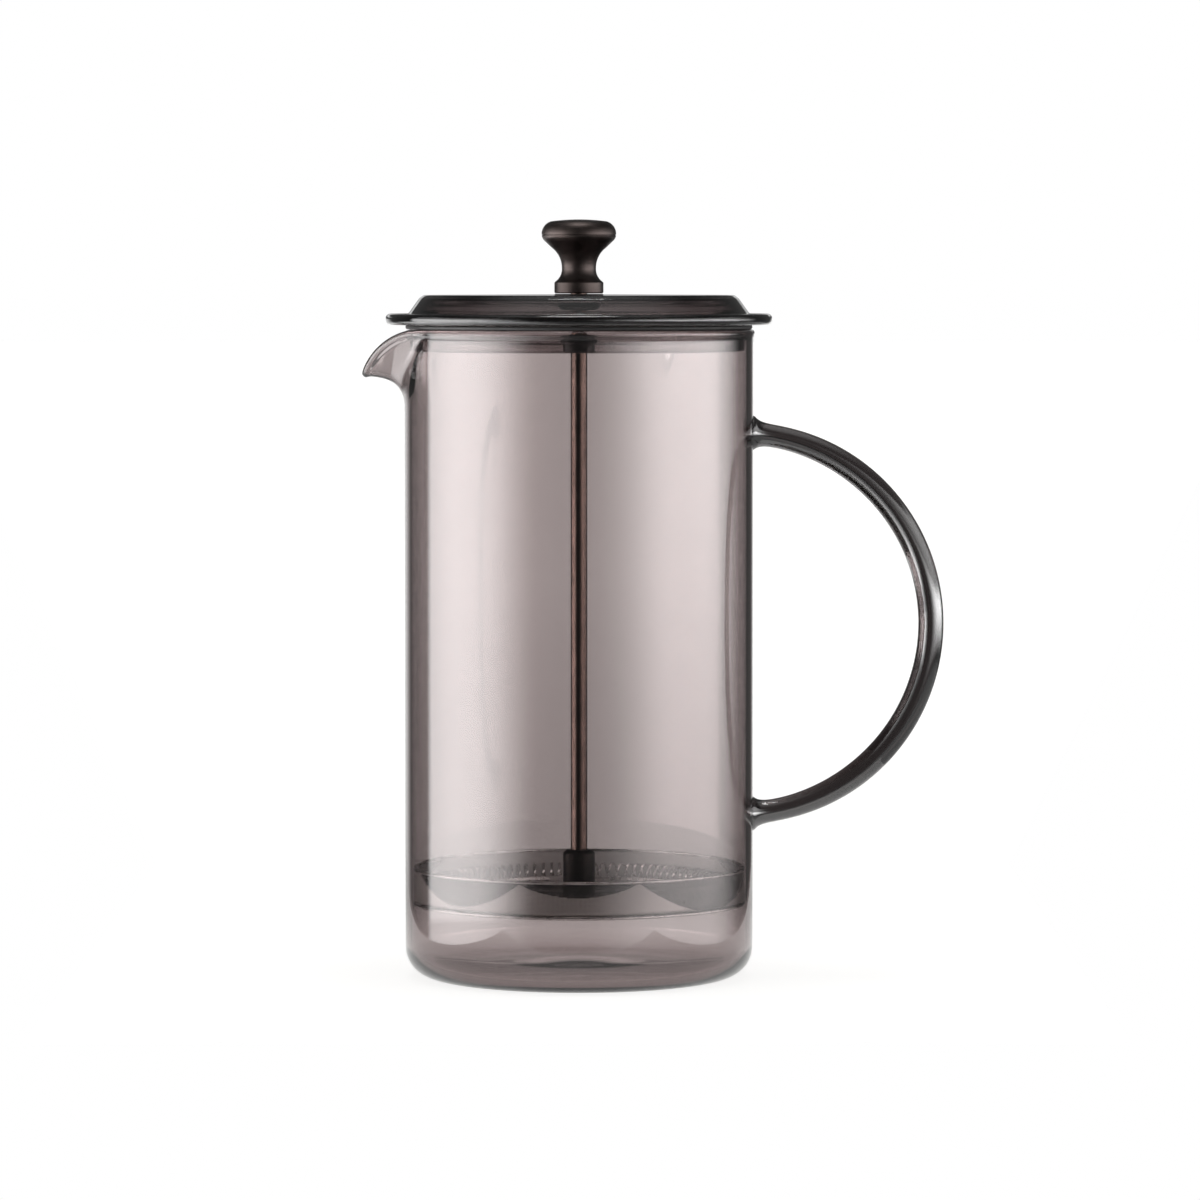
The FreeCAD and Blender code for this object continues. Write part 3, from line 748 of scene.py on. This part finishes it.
def make_rod():
    """The rod with its shoulder and the threaded stud below it."""
    step_level = hub_low.z + 2.5 * MM
    pitch = 0.7 * MM
    corners = [(0, rod_low.z, 0)]
    level = rod_low.z + 0.1 * MM
    while level + pitch < nut_high.z + 0.4 * MM:
        corners.append((STUD_RADIUS - 0.35 * MM, level, 0))
        corners.append((STUD_RADIUS - 0.02 * MM, level + pitch / 2, 0))
        level += pitch
    corners += [(STUD_RADIUS - 0.05 * MM, level, 0), (STUD_RADIUS - 0.05 * MM, step_level, 0),
                (ROD_RADIUS, step_level, 0), (ROD_RADIUS, rod_high.z, 0), (0, rod_high.z, 0)]
    piece = lathe("rod_drawn", corners, 72, 1)
    dress(piece, ROD_METAL, "plunger", "rod_metal", "plunger_rod")


def make_hub():
    low, top = hub_low.z, hub_high.z
    edge = hub_high.x
    piece = lathe("hub_turned", [
        (STUD_RADIUS, low, 0), (edge, low, 0.25 * MM), (edge, low + 1.2 * MM, 0),
        (edge - 0.12 * MM, low + 1.3 * MM, 0), (edge - 0.12 * MM, low + 1.6 * MM, 0),
        (edge, low + 1.7 * MM, 0), (edge, top - 0.95 * MM, 0.12 * MM),
        (edge - 0.95 * MM, top, 0.12 * MM), (ROD_RADIUS, top, 0), (ROD_RADIUS, low + 2.5 * MM, 0),
        (STUD_RADIUS, low + 2.5 * MM, 0)], 96, 4)
    dress(piece, HUB_METAL, "plunger", "hub_metal", "rod_hub")


# ------------------------------------------------------------------ filter stack
def pierce(piece, count, circle, radius, low, high):
    """Cut the plate's round holes."""
    for index in range(count):
        angle = TURN * index / count
        tool = lathe_mesh("hole", [(0, low), (radius, low), (radius, high), (0, high)], 40)
        tool.transform(Matrix.Translation((circle * math.cos(angle), circle * math.sin(angle), 0)))
        boolean(piece, link("hole", tool), "DIFFERENCE", 40)


def make_upper_plate():
    low, top = plate_low.z, plate_high.z
    floor = low + 0.6 * MM
    edge = plate_high.x
    piece = lathe("spring_plate", [
        (STUD_RADIUS, low, 0), (edge, low, 0.8 * MM), (edge, top, 0.28 * MM),
        (edge - 0.6 * MM, top, 0.28 * MM), (edge - 0.6 * MM, floor, 0.4 * MM),
        (STUD_RADIUS, floor, 0)], 192, 5)
    pierce(piece, 6, 23.5 * MM, 7.6 * MM, low - 1 * MM, top + 1 * MM)
    soften(piece, 0.08 * MM)
    dress(piece, PLATE_STEEL, "plunger", "plate_steel", "upper_plate")


def make_lower_plate():
    low, top = cross_low.z, cross_high.z
    piece = lathe("cross_plate", [
        (STUD_RADIUS, low, 0), (cross_high.x, low, 0.3 * MM), (cross_high.x, top, 0.1 * MM),
        (STUD_RADIUS, top, 0)], 192, 4)
    pierce(piece, 4, 22 * MM, 9.6 * MM, low - 1 * MM, top + 1 * MM)
    soften(piece, 0.08 * MM)
    dress(piece, CROSS_STEEL, "plunger", "cross_steel", "lower_plate")


def ring_wire(name, path, radius, sides):
    """A round wire along a closed list of points."""
    points = []
    faces = []
    count = len(path)
    for index, spot in enumerate(path):
        along = (path[(index + 1) % count] - path[index - 1]).normalized()
        side = along.cross(Vector((0, 0, 1)))
        if side.length <= 0.05:
            side = along.cross(Vector((spot.x, spot.y, 0)))
        side.normalize()
        up = side.cross(along)
        for turn in range(sides):
            angle = TURN * turn / sides
            points.append(spot + side * radius * math.cos(angle) + up * radius * math.sin(angle))
    for index in range(count):
        here = index * sides
        following = (index + 1) % count * sides
        for turn in range(sides):
            step = (turn + 1) % sides
            faces.append((here + turn, here + step, following + step, following + turn))
    return link(name, mesh_from(name, points, faces))


def make_spring():
    """The coil spring bent into a ring round the plate."""
    section = (spring_high.z - spring_low.z) / 2
    wire = 0.36 * MM
    coil = section - wire
    ring = spring_high.x - section
    level = (spring_low.z + spring_high.z) / 2
    turns = 104
    per_turn = 22
    path = []
    for step in range(turns * per_turn):
        around = TURN * step / (turns * per_turn)
        twist = TURN * step / per_turn
        lean = 0.004 * math.sin(around * 9) + 0.003 * math.sin(around * 23 + 1)
        reach = ring + coil * math.cos(twist)
        angle = around + lean
        height = level + coil * math.sin(twist)
        path.append(Vector((reach * math.cos(angle), reach * math.sin(angle), height)))
    piece = ring_wire("spring_coil", path, wire, 8)
    dress(piece, WIRE_STEEL, "plunger", "spring_steel", "edge_spring")


# folds of the screen's turned-up edge: middle and half width in degrees, depth below the edge
MESH_FOLDS = [(-90, 21, 3.6 * MM), (-39, 30, 8.6 * MM), (-134, 24, 7.2 * MM), (18, 12, 3.0 * MM),
              (162, 13, 3.4 * MM)]
FOLD_LEAN = 0.085
MESH_THICK = 0.35 * MM
MESH_CORNER = 0.9 * MM
MESH_COLUMNS = 480
DISC_STEPS = 24
CORNER_STEPS = 4
EDGE_LEVELS = 30


def fold_depth(angle):
    """How far below the top edge the screen's wall starts to lean in at an angle."""
    depth = 0
    for centre, half, deep in MESH_FOLDS:
        turn = (math.degrees(angle) - centre + 180) % 360 - 180
        if abs(turn) < half:
            depth = max(depth, deep * (1 - (turn / half) ** 2))
    return depth


def screen_section(angle):
    """The screen's outer line at an angle, as (radius, height), with its place on the wire grid."""
    low, top = mesh_low.z, mesh_high.z
    edge = mesh_high.x
    depth = fold_depth(angle)
    line = []
    marks = []
    for step in range(DISC_STEPS + 1):
        radius = STUD_RADIUS + (edge - MESH_CORNER - STUD_RADIUS) * step / DISC_STEPS
        line.append((radius, low))
        marks.append((radius * math.cos(angle), radius * math.sin(angle)))
    for step in range(1, CORNER_STEPS + 1):
        turn = math.pi / 2 * step / CORNER_STEPS
        height = low + MESH_CORNER - MESH_CORNER * math.cos(turn)
        line.append((edge - MESH_CORNER + MESH_CORNER * math.sin(turn), height))
        marks.append((edge * angle, height))
    for step in range(1, EDGE_LEVELS + 1):
        height = low + MESH_CORNER + (top - low - MESH_CORNER) * step / EDGE_LEVELS
        inward = max(0, height - (top - depth)) * FOLD_LEAN if depth else 0
        line.append((edge - inward, height))
        marks.append((edge * angle, height))
    return line, marks


def screen_inside(line):
    """The inner line of the screen, one thickness from its outer line."""
    inner = []
    for index, (radius, height) in enumerate(line):
        if index < DISC_STEPS:
            inner.append((radius, height + MESH_THICK))
        elif index == DISC_STEPS:
            inner.append((radius - MESH_THICK, height + MESH_THICK))
        else:
            inner.append((radius - MESH_THICK, max(height, mesh_low.z + MESH_THICK)))
    return inner


def lay_grid(mesh, marks):
    """The UV layer that carries the wire grid, unbroken across the seam."""
    layer = mesh.uv_layers.new(name="grid")
    wrap = mesh_high.x * TURN
    for face in mesh.polygons:
        first = marks[mesh.loops[face.loop_start].vertex_index]
        for loop in face.loop_indices:
            u, v = marks[mesh.loops[loop].vertex_index]
            if abs(u - first[0]) > wrap / 2:
                u += wrap if u < first[0] else -wrap
            layer.data[loop].uv = (u, v)


def make_mesh():
    """The woven screen: a disc with its edge turned up, folded a little where the wall presses it."""
    points = []
    marks = []
    for column in range(MESH_COLUMNS):
        angle = TURN * column / MESH_COLUMNS
        line, spots = screen_section(angle)
        for radius, height in line + screen_inside(line)[::-1]:
            points.append((radius * math.cos(angle), radius * math.sin(angle), height))
        marks += spots + spots[::-1]
    count = len(points) // MESH_COLUMNS
    faces = []
    for column in range(MESH_COLUMNS):
        here = column * count
        following = (column + 1) % MESH_COLUMNS * count
        for index in range(count):
            step = (index + 1) % count
            faces.append((here + index, following + index, following + step, here + step))
    mesh = bpy.data.meshes.new("mesh_screen")
    mesh.from_pydata(points, [], faces)
    lay_grid(mesh, marks)
    mesh.update()
    dress(link("mesh_screen", mesh, 60), MESH_STEEL, "plunger", "mesh_steel", "filter_mesh")
    # the faces in the folds take the darker steel: painted shade on the folds of the edge
    mesh.materials.append(FOLD_SHADE_STEEL)
    for face in mesh.polygons:
        middle = face.center
        folded = middle.z > mesh_high.z - fold_depth(math.atan2(middle.y, middle.x))
        if folded and middle.xy.length > mesh_high.x - 3 * MESH_THICK:
            face.material_index = 1


def make_rims():
    width = 1.2 * MM
    piece = lathe("mesh_rim_fold", [
        (rim_high.x - width, rim_low.z, 0.2 * MM), (rim_high.x - 0.1 * MM, rim_low.z, 0.38 * MM),
        (rim_high.x - 0.1 * MM, rim_high.z, 0.38 * MM), (rim_high.x - width, rim_high.z, 0.2 * MM)], 240)
    dress(piece, RIM_STEEL, "plunger", "rim_steel", "mesh_rim")
    width = 2.5 * MM
    piece = lathe("mesh_hem_fold", [
        (hem_high.x - width, hem_low.z, 0.2 * MM), (hem_high.x, hem_low.z, 0.48 * MM),
        (hem_high.x, hem_high.z, 0.48 * MM), (hem_high.x - width, hem_high.z, 0.2 * MM)], 240)
    dress(piece, RIM_STEEL, "plunger", "hem_steel", "mesh_hem")


def make_nut():
    """The hexagon nut with its corners turned off."""
    low, high = nut_low.z, nut_high.z
    corner = nut_high.x
    chamfer = 0.55 * MM
    piece = lathe("hex_nut", [
        (STUD_RADIUS, low, 0), (corner - chamfer, low, 0), (corner + 0.05 * MM, low + chamfer * 0.6, 0),
        (corner + 0.05 * MM, high - chamfer * 0.6, 0), (corner - chamfer, high, 0),
        (STUD_RADIUS, high, 0)], 96, 1)
    sides = [(0, low - MM), (corner, low - MM), (corner, high + MM), (0, high + MM)]
    prism = lathe_mesh("prism", sides, 6)
    boolean(piece, link("prism", prism), "INTERSECT", 24)
    dress(piece, NUT_STEEL, "plunger", "nut_steel", "filter_nut")


def dress_small_nodes():
    """The small pieces keep their CAD shape and get finished materials."""
    for node, material in (("bush_clip", NUT_STEEL), ("nut_washer", NUT_STEEL),
                           ("rod_wiper", BLACK_RUBBER), ("knob_washer", BLACK_RUBBER)):
        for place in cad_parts[node].material_slots:
            place.material = material


# ------------------------------------------------------------------ studio
# azimuths run from 0 in front to 90 on the right, elevations from 0 at the horizon, all in degrees
AMBIENT = 0.10
BACK_LIGHT = 1.0
BACK_BELOW_SHARE = 0.76
LEFT_LIGHT = 8.6
LEFT_LOWER_SHARE = 0.62
LEFT_LOWER_TOP = -6.35
RIGHT_LIGHT = 8.0
BOX_UPPER_SHARE = 0.22
TOP_LIGHT = 0.5
TOP_SPOT = 7.0
LOW_LIGHT = 0.4
LOW_LEFT_LIGHT = 3.0


def ramp(tree, source, low, high, bottom=0.0, top=1.0):
    """A soft step from one value to another, between two values of the source."""
    node = tree.nodes.new("ShaderNodeMapRange")
    node.interpolation_type = "SMOOTHSTEP"
    node.inputs["From Min"].default_value = low
    node.inputs["From Max"].default_value = high
    node.inputs["To Min"].default_value = bottom
    node.inputs["To Max"].default_value = top
    tree.links.new(source, node.inputs["Value"])
    return node.outputs["Result"]


def fade(tree, source, low, high):
    return ramp(tree, source, low, high, 1, 0)


def product(tree, first, *others):
    for item in others:
        first = combine(tree, "MULTIPLY", first, item)
    return first


def total(tree, first, *others):
    for item in others:
        first = combine(tree, "ADD", first, item)
    return first


def box_rows(tree, elevation, low_start, low_full):
    """Rows of a softbox: full at the height of the object, weaker above it."""
    upper = product(tree, ramp(tree, elevation, 2, 9, 1, BOX_UPPER_SHARE), fade(tree, elevation, 26, 34))
    return product(tree, ramp(tree, elevation, low_start, low_full), upper)


def left_softbox(tree, azimuth, elevation):
    """A tall box with a crisp rear edge, fading towards the front and weaker near the table."""
    lower = product(tree, combine(tree, "LESS_THAN", elevation, LEFT_LOWER_TOP),
                    ramp(tree, elevation, -30, -20, 0, LEFT_LOWER_SHARE))
    rows = combine(tree, "MAXIMUM", box_rows(tree, elevation, -6.6, LEFT_LOWER_TOP), lower)
    edge = product(tree, ramp(tree, azimuth, -121, -114), ramp(tree, azimuth, -122, -84, 0.55, 1))
    return product(tree, edge, fade(tree, azimuth, -74, -26), product(tree, rows, LEFT_LIGHT))


def right_softbox(tree, azimuth, elevation):
    """A broad box that fades both ways."""
    return product(tree, ramp(tree, azimuth, 2, 66), fade(tree, azimuth, 90, 134),
                   product(tree, box_rows(tree, elevation, -13, 2), RIGHT_LIGHT))


def top_lights(tree, elevation):
    return total(tree, product(tree, ramp(tree, elevation, 44, 70), TOP_LIGHT),
                 product(tree, ramp(tree, elevation, 77, 80), TOP_SPOT))


def pale_back(tree, azimuth, elevation):
    """Two pale bands behind the object, which light the limbs of the glass."""
    rows = total(tree, fade(tree, elevation, -1, 1.5),
                 product(tree, ramp(tree, elevation, 4.5, 5.5), fade(tree, elevation, 8.5, 10)))
    sides = total(tree, fade(tree, azimuth, -164, -146), ramp(tree, azimuth, 160, 172))
    return product(tree, sides, product(tree, rows, BACK_LIGHT - AMBIENT))


def low_lights(tree, azimuth, elevation):
    """Light thrown back from below, most of it on the left."""
    left = product(tree, ramp(tree, azimuth, -150, -120),
                   product(tree, fade(tree, azimuth, -50, -10), LOW_LEFT_LIGHT))
    return product(tree, fade(tree, elevation, -17, -10), total(tree, left, LOW_LIGHT))


def make_world():
    """Studio surroundings by direction: a softbox on the left, a soft gradient on the right, a pale back."""
    world = bpy.data.worlds.new("studio")
    world.use_nodes = True
    tree = world.node_tree
    place = tree.nodes.new("ShaderNodeTexCoord")
    split = tree.nodes.new("ShaderNodeSeparateXYZ")
    tree.links.new(place.outputs["Generated"], split.inputs["Vector"])
    minus_y = combine(tree, "MULTIPLY", split.outputs["Y"], -1)
    azimuth = combine(tree, "DEGREES", combine(tree, "ARCTAN2", split.outputs["X"], minus_y))
    elevation = combine(tree, "DEGREES", combine(tree, "ARCSINE", split.outputs["Z"]))
    studio = total(tree, AMBIENT, left_softbox(tree, azimuth, elevation),
                   right_softbox(tree, azimuth, elevation), top_lights(tree, elevation),
                   pale_back(tree, azimuth, elevation), low_lights(tree, azimuth, elevation))
    # rays that only pass through both walls see the plain back, as the camera does
    rays = tree.nodes.new("ShaderNodeLightPath")
    straight = product(tree, combine(tree, "LESS_THAN", rays.outputs["Glossy Depth"], 0.5),
                       combine(tree, "LESS_THAN", rays.outputs["Diffuse Depth"], 0.5))
    through = product(tree, straight, combine(tree, "GREATER_THAN", rays.outputs["Transmission Depth"], 2.5))
    pick = tree.nodes.new("ShaderNodeMix")
    pick.data_type = "FLOAT"
    tree.links.new(combine(tree, "MAXIMUM", rays.outputs["Is Camera Ray"], through), pick.inputs["Factor"])
    tree.links.new(studio, pick.inputs["A"])
    # seen through the walls, the surroundings below the horizon have the floor's level
    plain = combine(tree, "MAXIMUM", rays.outputs["Is Camera Ray"],
                    ramp(tree, elevation, -9, -1, BACK_BELOW_SHARE, 1))
    tree.links.new(product(tree, plain, BACK_LIGHT), pick.inputs["B"])
    ground = tree.nodes["Background"]
    ground.inputs["Color"].default_value = (1, 1, 1, 1)
    tree.links.new(pick.outputs["Result"], ground.inputs["Strength"])
    world.cycles.sampling_method = "NONE"
    bpy.context.scene.world = world


FLOOR_GLOW = 0.86
FLOOR_GLOW_NEAR = 0.56
FLOOR_GLOW_FAR = 0.76
FLOOR_GLOW_UNDER = 0.40
FLOOR_HALF_WIDTH = 0.14
FLOOR_FRONT = -0.14
FLOOR_WIDENS = 0.3
FLOOR_BACK = 14.0
FLOOR_BACK_HALF_WIDTH = 1.8
FLOOR_DROP = 0.02 * MM


def floor_paper():
    """Pale paper with a fine grain that glows a little, more under the object and to the camera."""
    material, tree, shader = new_material("floor_paper")
    grain = noise(tree, 220, (1, 1, 1), 4)
    paper = mix_colour(tree, grain, (0.23, 0.229, 0.227), (0.26, 0.259, 0.257))
    tree.links.new(paper, shader.inputs["Base Color"])
    shader.inputs["Roughness"].default_value = 0.9
    shader.inputs["Emission Color"].default_value = (1, 0.995, 0.985, 1)
    rays = tree.nodes.new("ShaderNodeLightPath")
    place = tree.nodes.new("ShaderNodeTexCoord")
    split = tree.nodes.new("ShaderNodeSeparateXYZ")
    reach = tree.nodes.new("ShaderNodeVectorMath")
    reach.operation = "LENGTH"
    tree.links.new(place.outputs["Object"], split.inputs["Vector"])
    tree.links.new(place.outputs["Object"], reach.inputs[0])
    glow = tree.nodes.new("ShaderNodeMix")
    glow.data_type = "FLOAT"
    level = total(tree, spread(tree, split.outputs["Y"], FLOOR_GLOW_NEAR, FLOOR_GLOW_FAR, 0.3, 2.0),
                  spread(tree, reach.outputs["Value"], FLOOR_GLOW_UNDER, 0, 0.08, 0.20))
    tree.links.new(rays.outputs["Is Camera Ray"], glow.inputs["Factor"])
    tree.links.new(level, glow.inputs["A"])
    glow.inputs["B"].default_value = FLOOR_GLOW
    tree.links.new(glow.outputs["Result"], shader.inputs["Emission Strength"])
    tree.links.new(add_bump(tree, grain, 0.05, 0.0002), shader.inputs["Normal"])
    return material


def make_floor():
    """A plain pale sheet under the object, widening behind it."""
    mesh = bpy.data.meshes.new("floor")
    near, far = FLOOR_HALF_WIDTH, FLOOR_BACK_HALF_WIDTH
    mesh.from_pydata([(-near, FLOOR_FRONT, 0), (near, FLOOR_FRONT, 0), (near, FLOOR_WIDENS, 0),
                      (far, FLOOR_BACK, 0), (-far, FLOOR_BACK, 0), (-near, FLOOR_WIDENS, 0)],
                     [], [(0, 1, 2, 3, 4, 5)])
    mesh.materials.append(floor_paper())
    floor = bpy.data.objects.new("floor", mesh)
    floor.location.z = cad_low.z - FLOOR_DROP
    bpy.context.scene.collection.objects.link(floor)


CAMERA_TARGET = Vector((5.8 * MM, 0, 104 * MM))
CAMERA_PITCH = math.radians(3.26)
CAMERA_DISTANCE = 1.60
CAMERA_LENS = 174


def make_camera():
    """A long lens from straight in front, a little above."""
    data = bpy.data.cameras.new("camera")
    data.lens = CAMERA_LENS
    data.sensor_width = 36
    camera = bpy.data.objects.new("camera", data)
    back = Vector((0, -math.cos(CAMERA_PITCH), math.sin(CAMERA_PITCH)))
    camera.location = CAMERA_TARGET + back * CAMERA_DISTANCE
    camera.rotation_mode = "QUATERNION"
    camera.rotation_quaternion = (-back).to_track_quat("-Z", "Y")
    bpy.context.scene.collection.objects.link(camera)
    bpy.context.scene.camera = camera


make_beaker()
make_handle()
make_lid_cover()
make_lid_insert()
make_lid_seal()
make_bushes()
make_knob()
make_rod()
make_hub()
make_upper_plate()
make_lower_plate()
make_spring()
make_mesh()
make_rims()
make_nut()
dress_small_nodes()
make_world()
make_floor()
make_camera()

bpy.context.scene.view_settings.view_transform = "Standard"
bpy.context.scene.cycles.max_bounces = 24
bpy.context.scene.cycles.transmission_bounces = 24
bpy.context.scene.cycles.glossy_bounces = 8
bpy.context.scene.cycles.transparent_max_bounces = 24
